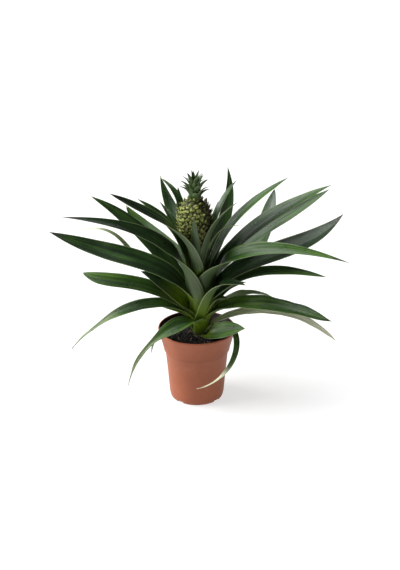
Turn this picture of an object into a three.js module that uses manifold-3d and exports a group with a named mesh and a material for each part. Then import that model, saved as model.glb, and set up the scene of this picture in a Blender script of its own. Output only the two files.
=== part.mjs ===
// Potted pineapple plant: a young ornamental pineapple in a plastic nursery pot.
// Millimetres, +Z up, origin at the centre of the pot's base, -Y towards the front of the plant.
import * as THREE from "three";
import { mergeVertices } from "three/addons/utils/BufferGeometryUtils.js";
import Module from "manifold-3d";

const wasm = await Module();
wasm.setup();

// ---- driving dimensions ----
const GAP = 0.3; // clearance between neighbouring pieces

const POT_HEIGHT = 117;
const RIM_RADIUS = 60;
const COLLAR_FOOT = [51.5, 84]; // radius and height where the collar ends
const BODY_TOP = [49, 80.5];
const BODY_FOOT = [42.5, 9];
const BASE_RADIUS = 38.5;
const WALL = 1.8;
const FLOOR_UNDERSIDE = 3.2;
const FLOOR_THICKNESS = 2;
const FOOT_RING_INNER = 33;
const CENTRE_PAD_RADIUS = 10; // flat pad in the middle of the floor, level with the foot ring
const POT_SIDES = 32;
const DRAIN_SLOTS = 4;
const DRAIN_SLOT_HEADING = 50; // degrees from +X to the first slot
const DRAIN_SLOT_WIDTH = 11;
const DRAIN_SLOT_HEIGHT = 2.6;
const DRAIN_HOLE_RADIUS = 4;
const DRAIN_HOLE_CIRCLE = 20;

const SOIL_LEVEL = 107;
const SOIL_LUMP = 1.5;
const STEM_HOLE_DEPTH = 30;

const STEM_FOOT = [8, 0, SOIL_LEVEL - STEM_HOLE_DEPTH + 0.5];
const STEM_HEAD = [-3, 0, 254];
const STEM_GIRTH = [ // height, radius
  [77.5, 10],
  [120, 11],
  [170, 9],
  [215, 6.5],
  [254, 6],
];

const FRUIT_FOOT = [-3, 0, 254.3];
const FRUIT_HEIGHT = 80;
const FRUIT_RADIUS = 23.8;
const EYE_RISE = 2.4;
const EYE_COUNT = 230;
const EYE_ENDS = 16; // eyes at each end of the spiral that crowd round the stalk or the crown
const GOLDEN_ANGLE = 137.508;

const CROWN_FOOT = [-3, 0, 334.6];
const CROWN_CORE_RADIUS = 10;
const CROWN_CORE_HEIGHT = 24;
const CROWN_LEAFLETS = 28;
const LEAFLET_LENGTH = 16;
const LEAFLET_WIDTH = 12;
const LEAFLET_CURL = 50; // degrees that a leaflet bends outwards between its foot and its point

const BLADE_EDGE = 0.8; // thickness at the margins
const BLADE_MIDDLE = 1.5; // thickness along the midrib
const BLADE_STEPS = 10; // lengths of blade between root and tip
const SHORT_BLADE = 150; // a blade with a shorter span has fewer lengths
const SHORT_BLADE_STEPS = 7;
const BLADE_CUTS = 4; // strips across the blade
const NARROW_BLADE = 24;
const NARROW_BLADE_CUTS = 2;

// Each leaf leaves the stem at a height, in the direction given by its heading (degrees, seen from
// above) and its rise above level, and ends at its tip falling by the given angle below level.
// grip and reach are how far the two end directions carry, as shares of the straight distance.
// roll tilts the blade about its length (left margin up), beginning at the share of the length given
// by hold; taper is how late the blade narrows; neck is the place and the share of width left where it
// has curled up; base is the share of the width at the root; turn swings the heading at the tip.
const LEAVES = [
  // low leaves, most of them lying out over the soil and the rim
  { name: "leaf_lower_01", heading: 198, height: 129, rise: 56, tip: [-192, -41, 99], fall: 52, width: 28,
    roll: -12, neck: [0.62, 0.3] },
  { name: "leaf_lower_02", heading: 282, height: 122, rise: 53, tip: [-105, -71, 51], fall: 78, width: 28,
    roll: -16, base: 0.8, grip: 0.31, reach: 0.68, neck: [0.45, 0.28] },
  { name: "leaf_lower_03", heading: 190, height: 117, rise: 50, tip: [-70, -28, 86], fall: 82, width: 12,
    grip: 0.55, reach: 0.5 },
  { name: "leaf_lower_04", heading: 184, height: 134, rise: 30, tip: [-78, 3, 159], fall: -8, width: 20,
    roll: -15 },
  { name: "leaf_lower_05", heading: 300, height: 116, rise: 76, tip: [74, -57, 215], fall: -4, width: 36,
    roll: 12, base: 0.95, grip: 0.7, reach: 0.4, peak: 0.3 },
  { name: "leaf_lower_06", heading: 332, height: 126, rise: 62, tip: [47, -24, 176], fall: 16, width: 20,
    roll: 10 },
  { name: "leaf_lower_07", heading: 18, height: 128, rise: 51, tip: [121, 52, 139], fall: 46, width: 20 },
  { name: "leaf_lower_08", heading: 340, height: 132, rise: 48, tip: [205, -67, 160], fall: 8, width: 34,
    roll: 14, taper: 3, grip: 0.35, base: 0.85 },
  { name: "leaf_lower_09", heading: 350, height: 118, rise: 36, tip: [212, -37, 113], fall: 42, width: 24,
    roll: 10 },
  { name: "leaf_lower_10", heading: 300, height: 113, rise: 10, tip: [74, -43, 135], fall: -8, width: 30,
    roll: 48, base: 0.95 },
  { name: "leaf_lower_11", heading: 346, height: 113, rise: 36, tip: [0, -72, 47], fall: 5, width: 14,
    turn: -64, grip: 0.85, reach: 0.82 },
  { name: "leaf_lower_12", heading: 100, height: 120, rise: 25, tip: [-20, 175, 95], fall: 45, width: 32 },
  { name: "leaf_lower_13", heading: 65, height: 122, rise: 30, tip: [60, 165, 110], fall: 40, width: 30 },
  { name: "leaf_lower_14", heading: 118, height: 128, rise: 35, tip: [-80, 165, 130], fall: 30, width: 32 },
  // long arching leaves from the middle of the stem
  { name: "leaf_middle_01", heading: 192, height: 156, rise: 62, tip: [-223, -8, 281], fall: -26, width: 40,
    roll: -28, grip: 0.41, reach: 0.56, taper: 2.4, base: 0.7 },
  { name: "leaf_middle_02", heading: 242, height: 129, rise: 79, tip: [-203, -36, 317], fall: -7, width: 40,
    roll: -44, hold: 0.2, base: 1, grip: 0.42, reach: 0.59, peak: 0.34, taper: 0.9 },
  { name: "leaf_middle_03", heading: 142, height: 158, rise: 44, tip: [-163, 50, 316], fall: -26, width: 33,
    roll: -14, grip: 0.35 },
  { name: "leaf_middle_04", heading: 119, height: 193, rise: 42, tip: [-112, 108, 278], fall: -50, width: 26,
    roll: -8, grip: 0.38, reach: 0.32, taper: 4 },
  { name: "leaf_middle_05", heading: 194, height: 141, rise: 46, tip: [-86, 0, 212], fall: -22, width: 32,
    roll: -30, grip: 0.4, base: 0.7 },
  { name: "leaf_middle_06", heading: 188, height: 134, rise: 48, tip: [-175, -12, 203], fall: -2, width: 30,
    roll: -24, grip: 0.25, reach: 0.6, taper: 7 },
  { name: "leaf_middle_07", heading: 166, height: 150, rise: 27.5, tip: [-186, 40, 264], fall: 15, width: 12,
    roll: -20, grip: 0.65, reach: 0.45, taper: 1.2 },
  { name: "leaf_middle_08", heading: 22, height: 160, rise: 35, tip: [124, 148, 289], fall: -72, width: 34,
    grip: 0.5, reach: 0.45, taper: 5 },
  { name: "leaf_middle_09", heading: 357, height: 133, rise: 52, tip: [76, -5, 196], fall: -9, width: 18,
    roll: 10 },
  { name: "leaf_middle_10", heading: 2, height: 170, rise: 66, tip: [206, 44, 337], fall: -21, width: 32,
    roll: 16, grip: 0.33, reach: 0.5 },
  { name: "leaf_middle_11", heading: 35, height: 172, rise: 56, tip: [207, 103, 306], fall: -25, width: 35,
    roll: 20, grip: 0.4 },
  { name: "leaf_middle_12", heading: 352, height: 156, rise: 62, tip: [221, 0, 307], fall: -54, width: 42,
    roll: 24, grip: 0.45, reach: 0.38, peak: 0.55 },
  { name: "leaf_middle_13", heading: 275, height: 127, rise: 87, tip: [227, -74, 259], fall: 13, width: 40,
    roll: 46, hold: 0.18, base: 1, grip: 0.36, reach: 0.69, peak: 0.3, taper: 0.95 },
  { name: "leaf_middle_14", heading: 340, height: 142, rise: 62, tip: [196, -28, 215], fall: 10, width: 27,
    roll: 14, grip: 0.48 },
  { name: "leaf_middle_15", heading: 85, height: 140, rise: 42, tip: [15, 195, 150], fall: 25, width: 34 },
  { name: "leaf_middle_16", heading: 60, height: 136, rise: 38, tip: [90, 160, 135], fall: 30, width: 32 },
  { name: "leaf_middle_17", heading: 98, height: 150, rise: 50, tip: [-8, 185, 190], fall: 15, width: 34 },
  { name: "leaf_middle_18", heading: 80, height: 160, rise: 55, tip: [30, 170, 215], fall: 5, width: 32 },
  // upright leaves round the fruit stalk
  { name: "leaf_upper_01", heading: 268, height: 196, rise: 62, tip: [-128, -37, 355], fall: -33, width: 30,
    roll: -30, base: 0.7, grip: 0.55, reach: 0.5, peak: 0.45 },
  { name: "leaf_upper_02", heading: 185, height: 205, rise: 68, tip: [-90, 13, 327], fall: -34, width: 24,
    roll: -15, grip: 0.5, reach: 0.5 },
  { name: "leaf_upper_03", heading: 96, height: 192, rise: 48, tip: [-58, 143, 314], fall: -57, width: 26 },
  { name: "leaf_upper_04", heading: 118, height: 222, rise: 56, tip: [-57, 68, 339], fall: -7, width: 16,
    grip: 0.5, reach: 0.45 },
  { name: "leaf_upper_05", heading: 128, height: 185, rise: 67, tip: [-58, 80, 295], fall: -24, width: 18 },
  { name: "leaf_upper_06", heading: 118, height: 215, rise: 60, tip: [-29, 66, 325], fall: -78, width: 22 },
  { name: "leaf_upper_07", heading: 266, height: 196, rise: 82, tip: [-4, -45, 321], fall: -75, width: 15,
    base: 0.9 },
  { name: "leaf_upper_08", heading: 310, height: 188, rise: 78, tip: [61, -29, 338], fall: -40, width: 20,
    base: 0.9, grip: 0.45 },
  { name: "leaf_upper_09", heading: 34, height: 182, rise: 68, tip: [47, 56, 362], fall: -62, width: 22,
    turn: 62, grip: 0.45, reach: 0.3 },
  { name: "leaf_upper_10", heading: 335, height: 196, rise: 73, tip: [61, 43, 345], fall: -32, width: 20,
    base: 0.9, grip: 0.5, reach: 0.35 },
  { name: "leaf_upper_11", heading: 60, height: 215, rise: 57, tip: [33, 70, 299], fall: -61, width: 16 },
  { name: "leaf_upper_12", heading: 2, height: 187, rise: 68, tip: [138, 24, 357], fall: -33, width: 30,
    roll: 4, grip: 0.44, reach: 0.5 },
  { name: "leaf_upper_13", heading: 335, height: 205, rise: 71, tip: [66, -20, 296], fall: -2, width: 8,
    grip: 0.5 },
  { name: "leaf_upper_14", heading: 72, height: 200, rise: 66, tip: [14, 85, 278], fall: -45, width: 22 },
];

// ---- small helpers ----
const radians = THREE.MathUtils.degToRad;
const clamp = THREE.MathUtils.clamp;

// Unit vector for a heading round the vertical and an elevation above level, in degrees.
function direction(heading, elevation) {
  const flat = Math.cos(radians(elevation));
  return new THREE.Vector3(
    flat * Math.cos(radians(heading)),
    flat * Math.sin(radians(heading)),
    Math.sin(radians(elevation)),
  );
}

// Seeded random numbers between 0 and 1.
function seededRandom(seed) {
  let state = seed;
  return () => {
    state = (state * 1664525 + 1013904223) % 4294967296;
    return state / 4294967296;
  };
}

// A closed three.js geometry as a solid that can be joined or cut.
function solidOf(geometry) {
  const bare = geometry.clone();
  bare.deleteAttribute("normal");
  bare.deleteAttribute("uv");
  const merged = mergeVertices(bare, 1e-4);
  return new wasm.Manifold(
    new wasm.Mesh({
      numProp: 3,
      vertProperties: merged.attributes.position.array,
      triVerts: new Uint32Array(merged.index.array),
    }),
  );
}

// A cut solid back as three.js geometry.
function geometryOf(solid) {
  const mesh = solid.getMesh();
  const positions = new Float32Array(mesh.numVert * 3);
  for (let i = 0; i < mesh.numVert; i++) {
    for (let k = 0; k < 3; k++) {
      positions[3 * i + k] = mesh.vertProperties[i * mesh.numProp + k];
    }
  }
  const geometry = new THREE.BufferGeometry();
  geometry.setAttribute("position", new THREE.BufferAttribute(positions, 3));
  geometry.setIndex(new THREE.BufferAttribute(new Uint32Array(mesh.triVerts), 1));
  geometry.computeVertexNormals();
  return geometry;
}

// The largest connected body of a cut solid.
function largestBody(solid) {
  const bodies = solid.decompose();
  bodies.sort((a, b) => b.volume() - a.volume());
  return bodies[0];
}

// Closed surface through equal rings of points, with a flat fan over each end.
function loftRings(rings) {
  const positions = rings.flat().flatMap((p) => [p.x, p.y, p.z]);
  const around = rings[0].length;
  const index = [];
  for (let i = 0; i + 1 < rings.length; i++) {
    for (let j = 0; j < around; j++) {
      const k = (j + 1) % around;
      const a = i * around + j;
      const b = i * around + k;
      index.push(a, b, b + around, a, b + around, a + around);
    }
  }
  const last = (rings.length - 1) * around;
  for (let j = 1; j + 1 < around; j++) {
    index.push(0, j + 1, j);
    index.push(last, last + j, last + j + 1);
  }
  const geometry = new THREE.BufferGeometry();
  geometry.setAttribute("position", new THREE.Float32BufferAttribute(positions, 3));
  geometry.setIndex(index);
  return geometry;
}

// ---- stem ----
function stemAxis(height) {
  const share = (height - STEM_FOOT[2]) / (STEM_HEAD[2] - STEM_FOOT[2]);
  return new THREE.Vector3(...STEM_FOOT).lerp(new THREE.Vector3(...STEM_HEAD), share);
}

function stemRadius(height) {
  for (let i = 0; i + 1 < STEM_GIRTH.length; i++) {
    const [low, lowRadius] = STEM_GIRTH[i];
    const [high, highRadius] = STEM_GIRTH[i + 1];
    if (height <= high) {
      return THREE.MathUtils.mapLinear(height, low, high, lowRadius, highRadius);
    }
  }
  return STEM_GIRTH.at(-1)[1];
}

function stemSolid(clearance) {
  const rings = STEM_GIRTH.map(([height, radius], i) => {
    const ends = i === 0 ? -clearance : i === STEM_GIRTH.length - 1 ? clearance : 0;
    const centre = stemAxis(height + ends);
    const ring = [];
    for (let k = 0; k < 16; k++) {
      const turn = (2 * Math.PI * k) / 16;
      ring.push(
        new THREE.Vector3(
          centre.x + (radius + clearance) * Math.cos(turn),
          centre.y + (radius + clearance) * Math.sin(turn),
          centre.z,
        ),
      );
    }
    return ring;
  });
  return solidOf(loftRings(rings));
}

// ---- leaves ----
function leafCurve(leaf) {
  const root = stemAxis(leaf.height);
  root.addScaledVector(direction(leaf.heading, 0), stemRadius(leaf.height) - 1);
  const tip = new THREE.Vector3(...leaf.tip);
  const span = tip.distanceTo(root);
  const chordHeading = THREE.MathUtils.radToDeg(Math.atan2(tip.y - root.y, tip.x - root.x));
  const tipHeading = chordHeading + (leaf.turn ?? 0);
  const rootHandle = root.clone().addScaledVector(
    direction(leaf.heading, leaf.rise), (leaf.grip ?? 0.4) * span);
  const tipHandle = tip.clone().addScaledVector(
    direction(tipHeading, -leaf.fall), -(leaf.reach ?? 0.4) * span);
  return { curve: new THREE.CubicBezierCurve3(root, rootHandle, tipHandle, tip), tipHeading, span };
}

// Width of a blade as a share of its full width, at a share of its length.
function widthShare(leaf, s) {
  const peak = leaf.peak ?? 0.42;
  const base = leaf.base ?? 0.48;
  let share = base + (1 - base) * Math.sin((Math.PI / 2) * clamp(s / peak, 0, 1));
  if (s > peak) {
    share = 1 - ((s - peak) / (1 - peak)) ** (leaf.taper ?? 2.2);
  }
  if (leaf.neck) {
    const narrowing = THREE.MathUtils.smoothstep(s, leaf.neck[0] - 0.15, leaf.neck[0] + 0.15);
    share *= 1 - (1 - leaf.neck[1]) * narrowing;
  }
  return share;
}

function leafSolid(leaf, clearance) {
  const { curve, tipHeading, span } = leafCurve(leaf);
  let swing = (tipHeading - leaf.heading) % 360;
  if (swing > 180) swing -= 360;
  if (swing < -180) swing += 360;
  const steps = span < SHORT_BLADE ? SHORT_BLADE_STEPS : BLADE_STEPS;
  const cuts = leaf.width < NARROW_BLADE ? NARROW_BLADE_CUTS : BLADE_CUTS;
  const rings = [];
  for (let i = 0; i <= steps; i++) {
    const s = i / steps;
    const centre = curve.getPointAt(s);
    const along = curve.getTangentAt(s);
    const heading = radians(leaf.heading + swing * s);
    const side = new THREE.Vector3(-Math.sin(heading), Math.cos(heading), 0);
    side.addScaledVector(along, -side.dot(along)).normalize();
    const up = new THREE.Vector3().crossVectors(along, side);
    const roll = radians((leaf.roll ?? 0) * clamp((s - (leaf.hold ?? 0)) / 0.25, 0, 1));
    const across = side.clone().multiplyScalar(Math.cos(roll)).addScaledVector(up, Math.sin(roll));
    const lift = up.clone().multiplyScalar(Math.cos(roll)).addScaledVector(side, -Math.sin(roll));
    const width = Math.max(leaf.width * widthShare(leaf, s), 1.2);
    const arc = radians(70 * (1 - s) ** 2 + 55);
    const radius = width / arc;
    const upper = [];
    const lower = [];
    for (let j = 0; j <= cuts; j++) {
      const t = (2 * j) / cuts - 1;
      const spread = radius + (clearance * 2) / arc;
      const sideways = spread * Math.sin((t * arc) / 2);
      const height = radius * (1 - Math.cos((t * arc) / 2));
      const half = (BLADE_MIDDLE + (BLADE_EDGE - BLADE_MIDDLE) * t * t) / 2 + clearance;
      const onBlade = centre.clone().addScaledVector(across, sideways).addScaledVector(lift, height);
      upper.push(onBlade.clone().addScaledVector(lift, half));
      lower.push(onBlade.clone().addScaledVector(lift, -half));
    }
    rings.push([...upper, ...lower.reverse()]);
  }
  return solidOf(bladeGeometry(rings, cuts));
}

// A blade's surface: the same diagonals on the upper and the lower face.
function bladeGeometry(rings, cuts) {
  const around = 2 * (cuts + 1);
  const steps = rings.length - 1;
  const index = [];
  const upper = (i, j) => i * around + j;
  const lower = (i, j) => i * around + (around - 1 - j);
  for (let i = 0; i < steps; i++) {
    for (let j = 0; j < cuts; j++) {
      const [a, b, c, d] = [[i, j], [i + 1, j], [i + 1, j + 1], [i, j + 1]];
      index.push(upper(...a), upper(...b), upper(...c), upper(...a), upper(...c), upper(...d));
      index.push(lower(...a), lower(...c), lower(...b), lower(...a), lower(...d), lower(...c));
    }
    index.push(upper(i, 0), lower(i, 0), lower(i + 1, 0), upper(i, 0), lower(i + 1, 0), upper(i + 1, 0));
    index.push(upper(i, cuts), upper(i + 1, cuts), lower(i + 1, cuts));
    index.push(upper(i, cuts), lower(i + 1, cuts), lower(i, cuts));
  }
  for (let j = 0; j < cuts; j++) {
    index.push(upper(0, j), upper(0, j + 1), lower(0, j + 1), upper(0, j), lower(0, j + 1), lower(0, j));
    const n = steps;
    index.push(upper(n, j), lower(n, j + 1), upper(n, j + 1), upper(n, j), lower(n, j), lower(n, j + 1));
  }
  const geometry = new THREE.BufferGeometry();
  const positions = rings.flat().flatMap((p) => [p.x, p.y, p.z]);
  geometry.setAttribute("position", new THREE.Float32BufferAttribute(positions, 3));
  geometry.setIndex(index);
  return geometry;
}

// ---- pot ----
function potSolid() {
  const outer = [
    [BASE_RADIUS, 0],
    [BASE_RADIUS + 2.6, 3],
    [BODY_FOOT[0], BODY_FOOT[1]],
    [45.6, 46],
    [BODY_TOP[0], BODY_TOP[1]],
    [COLLAR_FOOT[0] - 0.5, BODY_TOP[1] + 0.8],
    [COLLAR_FOOT[0], COLLAR_FOOT[1]],
    [RIM_RADIUS - 0.8, POT_HEIGHT - 3.4],
    [RIM_RADIUS, POT_HEIGHT - 2.6],
    [RIM_RADIUS, POT_HEIGHT - 0.6],
    [RIM_RADIUS - 0.7, POT_HEIGHT],
  ];
  const inner = [
    [RIM_RADIUS - 1.7, POT_HEIGHT],
    [RIM_RADIUS - WALL - 0.6, POT_HEIGHT - 3],
    [COLLAR_FOOT[0] - WALL, COLLAR_FOOT[1] + 1],
    [BODY_TOP[0] - WALL, BODY_TOP[1]],
    [BODY_FOOT[0] - WALL, BODY_FOOT[1]],
    [BASE_RADIUS - 1, FLOOR_UNDERSIDE + FLOOR_THICKNESS],
    [0, FLOOR_UNDERSIDE + FLOOR_THICKNESS],
  ];
  const underside = [
    [0, 0],
    [CENTRE_PAD_RADIUS, 0],
    [CENTRE_PAD_RADIUS + 0.8, FLOOR_UNDERSIDE],
    [FOOT_RING_INNER, FLOOR_UNDERSIDE],
    [FOOT_RING_INNER, 0],
  ];
  const profile = [...underside, ...outer, ...inner, underside[0]];
  const points = profile.map(([r, z]) => new THREE.Vector2(r, z));
  const turned = new THREE.LatheGeometry(points, POT_SIDES);
  turned.rotateX(Math.PI / 2);
  let pot = solidOf(turned);
  for (let k = 0; k < DRAIN_SLOTS; k++) {
    const turn = DRAIN_SLOT_HEADING + (360 / DRAIN_SLOTS) * k;
    const slot = new THREE.BoxGeometry(16, DRAIN_SLOT_WIDTH, 2 * DRAIN_SLOT_HEIGHT);
    slot.translate(BASE_RADIUS - 1, 0, 0);
    slot.rotateZ(radians(turn));
    pot = pot.subtract(solidOf(slot));
    const hole = new THREE.CylinderGeometry(DRAIN_HOLE_RADIUS, DRAIN_HOLE_RADIUS, 12, 16);
    hole.rotateX(Math.PI / 2);
    hole.translate(DRAIN_HOLE_CIRCLE, 0, FLOOR_UNDERSIDE);
    hole.rotateZ(radians(turn));
    pot = pot.subtract(solidOf(hole));
  }
  return pot;
}

// ---- soil ----
function soilSolid() {
  const around = 32;
  const rings = [];
  const floor = FLOOR_UNDERSIDE + FLOOR_THICKNESS + GAP;
  const wallAt = (z) => {
    const sides = [
      [BASE_RADIUS - 1, FLOOR_UNDERSIDE + FLOOR_THICKNESS],
      [BODY_FOOT[0] - WALL, BODY_FOOT[1]],
      [BODY_TOP[0] - WALL, BODY_TOP[1]],
      [COLLAR_FOOT[0] - WALL, COLLAR_FOOT[1] + 1],
      [RIM_RADIUS - WALL - 0.6, POT_HEIGHT - 3],
    ];
    const k = Math.max(1, sides.findIndex(([, height]) => height >= z));
    const [low, high] = [sides[k - 1], sides[k]];
    return THREE.MathUtils.mapLinear(z, low[1], high[1], low[0], high[0]) - GAP - 0.35;
  };
  const circle = (radius, heightAt) => {
    const ring = [];
    for (let k = 0; k < around; k++) {
      const turn = (2 * Math.PI * k) / around;
      const x = radius * Math.cos(turn);
      const y = radius * Math.sin(turn);
      ring.push(new THREE.Vector3(x, y, heightAt(x, y)));
    }
    return ring;
  };
  for (const z of [floor, BODY_FOOT[1], BODY_TOP[1], COLLAR_FOOT[1] + 1, SOIL_LEVEL - 1.5]) {
    rings.push(circle(wallAt(z), () => z));
  }
  const lumps = (x, y) =>
    SOIL_LEVEL +
    SOIL_LUMP * (0.5 * Math.sin(0.21 * x + 0.13 * y + 1) + 0.35 * Math.sin(0.34 * y - 0.18 * x)) +
    0.4 * Math.sin(0.55 * x + 0.47 * y);
  for (const radius of [48, 40, 31, 22]) {
    rings.push(circle(radius, lumps));
  }
  rings.push(circle(12, () => SOIL_LEVEL + 0.8));
  const plug = solidOf(loftRings(rings));
  const hole = stemSolid(GAP);
  return plug.subtract(hole);
}

// ---- fruit ----
// Radius of the fruit at a share of its height, narrowing to the stalk and to the crown.
function fruitRadius(share) {
  const bulge = 1 - Math.abs(2 * clamp(share, 0, 1) - 0.96) ** 2.6;
  return FRUIT_RADIUS * Math.sqrt(Math.max(bulge, 0.12));
}

// The eyes sit on a golden-angle spiral; each is a raised six-sided boss with its neighbours 8, 13 and
// 21 places along the spiral, and meets them along sunken valleys.
function fruitSolid() {
  const steps = 400;
  const area = [0];
  for (let i = 1; i <= steps; i++) {
    const share = (i - 0.5) / steps;
    area.push(area[i - 1] + Math.max(fruitRadius(share), 9) ** 1.3);
  }
  const heightShare = (order) => {
    const wanted = area[steps] * clamp((order - EYE_ENDS) / (EYE_COUNT - 2 * EYE_ENDS - 1), 0.001, 0.999);
    const k = area.findIndex((sum) => sum >= wanted);
    return (k - 1 + (wanted - area[k - 1]) / (area[k] - area[k - 1])) / steps;
  };
  const surface = (order, raise) => {
    const share = heightShare(order);
    const radius = fruitRadius(share) + raise;
    const turn = radians(GOLDEN_ANGLE * order);
    return new THREE.Vector3(
      FRUIT_FOOT[0] + radius * Math.cos(turn),
      FRUIT_FOOT[1] + radius * Math.sin(turn),
      FRUIT_FOOT[2] + share * FRUIT_HEIGHT,
    );
  };
  const positions = [];
  const index = [];
  const known = new Map();
  const vertex = (key, make) => {
    if (!known.has(key)) {
      known.set(key, positions.length / 3);
      positions.push(...make().toArray());
    }
    return known.get(key);
  };
  // Valley corner shared by three neighbouring eyes.
  const corner = (a, b, c) => {
    const middle = surface(a, 0).add(surface(b, 0)).add(surface(c, 0)).multiplyScalar(1 / 3);
    return vertex("corner" + [a, b, c].sort((p, q) => p - q), () => middle);
  };
  const edges = new Map();
  for (let eye = 21; eye + 21 < EYE_COUNT; eye++) {
    const round = [eye + 13, eye + 21, eye + 8, eye - 13, eye - 21, eye - 8];
    const corners = round.map((next, k) => corner(eye, next, round[(k + 1) % 6]));
    const peak = vertex("peak" + eye, () => surface(eye, EYE_RISE));
    for (let k = 0; k < 6; k++) {
      const m = (k + 1) % 6;
      index.push(peak, corners[m], corners[k]);
      edges.set(corners[m] + "-" + corners[k], [corners[m], corners[k]]);
    }
  }
  // Close each end with a fan over the open edge.
  const open = new Map();
  for (const [a, b] of edges.values()) {
    if (!edges.has(b + "-" + a)) open.set(b, a);
  }
  for (const end of [0, 1]) {
    const start = [...open.keys()].find((at) => positions[3 * at + 2] > FRUIT_FOOT[2] + 40 === (end === 1));
    const centre = new THREE.Vector3(FRUIT_FOOT[0], FRUIT_FOOT[1], FRUIT_FOOT[2] + end * FRUIT_HEIGHT);
    const pole = vertex("pole" + end, () => centre);
    let at = start;
    do {
      const next = open.get(at);
      index.push(pole, at, next);
      at = next;
    } while (at !== start);
  }
  const geometry = new THREE.BufferGeometry();
  geometry.setAttribute("position", new THREE.Float32BufferAttribute(positions, 3));
  geometry.setIndex(index);
  return solidOf(geometry);
}

// ---- crown ----
function leafletSolid(foot, heading, rise, length, width, curl) {
  const rings = [];
  const steps = 3;
  for (let i = 0; i <= steps; i++) {
    const s = i / steps;
    const elevation = rise - curl * s;
    const along = direction(heading, elevation);
    const reach = direction(heading, rise - (curl * s) / 2).multiplyScalar(length * s);
    const centre = foot.clone().add(reach);
    const across = new THREE.Vector3(-Math.sin(radians(heading)), Math.cos(radians(heading)), 0);
    const up = new THREE.Vector3().crossVectors(along, across);
    const half = Math.max((width / 2) * (1 - s ** 1.6), 0.45);
    rings.push([
      centre.clone().addScaledVector(up, -0.8),
      centre.clone().addScaledVector(across, half).addScaledVector(up, 0.3 * half),
      centre.clone().addScaledVector(across, -half).addScaledVector(up, 0.3 * half),
    ]);
  }
  return solidOf(loftRings(rings));
}

function crownSolid() {
  const random = seededRandom(12);
  const core = new THREE.CylinderGeometry(5, CROWN_CORE_RADIUS, CROWN_CORE_HEIGHT, 10);
  core.rotateX(Math.PI / 2);
  core.translate(CROWN_FOOT[0], CROWN_FOOT[1], CROWN_FOOT[2] + CROWN_CORE_HEIGHT / 2);
  let crown = solidOf(core);
  for (let k = 0; k < CROWN_LEAFLETS; k++) {
    const share = k / (CROWN_LEAFLETS - 1);
    const heading = GOLDEN_ANGLE * k + 8 * random();
    const height = 0.5 + share * (CROWN_CORE_HEIGHT - 3);
    const radius = THREE.MathUtils.lerp(CROWN_CORE_RADIUS, 5.5, height / CROWN_CORE_HEIGHT) - 1.4;
    const foot = new THREE.Vector3(...CROWN_FOOT).addScaledVector(direction(heading, 0), radius);
    foot.z += height;
    const rise = 68 + 20 * share + 8 * random();
    const length = LEAFLET_LENGTH + 3 * Math.sin(Math.PI * share) + 3 * random();
    const width = LEAFLET_WIDTH - 2.5 * share;
    const curl = LEAFLET_CURL * (1 - 0.35 * share) + 16 * random() - 8;
    const leaflet = leafletSolid(foot, heading, rise, length, width, curl);
    crown = crown.add(leaflet);
  }
  const floor = new THREE.BoxGeometry(80, 80, 20);
  floor.translate(CROWN_FOOT[0], CROWN_FOOT[1], CROWN_FOOT[2] - 10);
  return largestBody(crown.subtract(solidOf(floor)));
}

// ---- assembly ----
const group = new THREE.Group();
const COLOURS = {
  pot: 0xb5674b,
  soil: 0x1f1814,
  stem: 0x6f7d3a,
  fruit: 0x8d9148,
  crown: 0x4f6b42,
  leaf: 0x3f6540,
};

function place(name, solid, colour) {
  const material = new THREE.MeshStandardMaterial({ color: colour, roughness: 0.6 });
  const mesh = new THREE.Mesh(geometryOf(solid), material);
  mesh.name = name;
  group.add(mesh);
}

const stemClear = stemSolid(GAP);
const fruit = fruitSolid();
const crown = crownSolid();

place("pot", potSolid(), COLOURS.pot);
place("soil", soilSolid(), COLOURS.soil);
place("stem", stemSolid(0), COLOURS.stem);
place("fruit", fruit, COLOURS.fruit);
place("crown", crown, COLOURS.crown);

function boxesMeet(one, other) {
  const [a, b] = [one.boundingBox(), other.boundingBox()];
  return [0, 1, 2].every((k) => a.min[k] < b.max[k] && b.min[k] < a.max[k]);
}

// Leaves from the soil upwards; each is cut clear of the stem and of the leaves below it.
const obstacles = [stemClear];
for (const leaf of LEAVES) {
  let blade = leafSolid(leaf, 0);
  for (const obstacle of obstacles) {
    if (boxesMeet(blade, obstacle)) {
      blade = blade.subtract(obstacle);
    }
  }
  place(leaf.name, largestBody(blade), COLOURS.leaf);
  obstacles.push(leafSolid(leaf, GAP + 0.1));
}

export default group;
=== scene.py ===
"""Potted pineapple plant: a young ornamental pineapple in a terracotta-coloured plastic pot.

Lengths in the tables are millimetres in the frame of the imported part: the origin is the centre of
the pot's underside, +Z is up and -Y is the front. Meshes are placed in metres.
"""

import math
import random

import bmesh
import bpy
from mathutils import Matrix, Vector, kdtree, noise


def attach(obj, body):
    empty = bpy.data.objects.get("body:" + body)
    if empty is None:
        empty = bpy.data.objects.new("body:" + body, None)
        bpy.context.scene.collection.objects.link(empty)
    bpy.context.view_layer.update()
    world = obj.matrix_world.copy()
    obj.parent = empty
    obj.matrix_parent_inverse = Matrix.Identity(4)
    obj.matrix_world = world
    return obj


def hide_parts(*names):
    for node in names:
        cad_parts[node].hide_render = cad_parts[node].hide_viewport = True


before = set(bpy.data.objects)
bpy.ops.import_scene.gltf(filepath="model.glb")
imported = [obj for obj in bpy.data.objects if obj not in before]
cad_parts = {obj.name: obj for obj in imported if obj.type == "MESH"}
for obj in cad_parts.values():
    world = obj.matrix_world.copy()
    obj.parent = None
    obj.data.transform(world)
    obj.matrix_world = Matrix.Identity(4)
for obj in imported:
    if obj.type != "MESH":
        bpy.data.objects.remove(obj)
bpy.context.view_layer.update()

MM = 0.001
GOLDEN_ANGLE = 137.508

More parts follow.
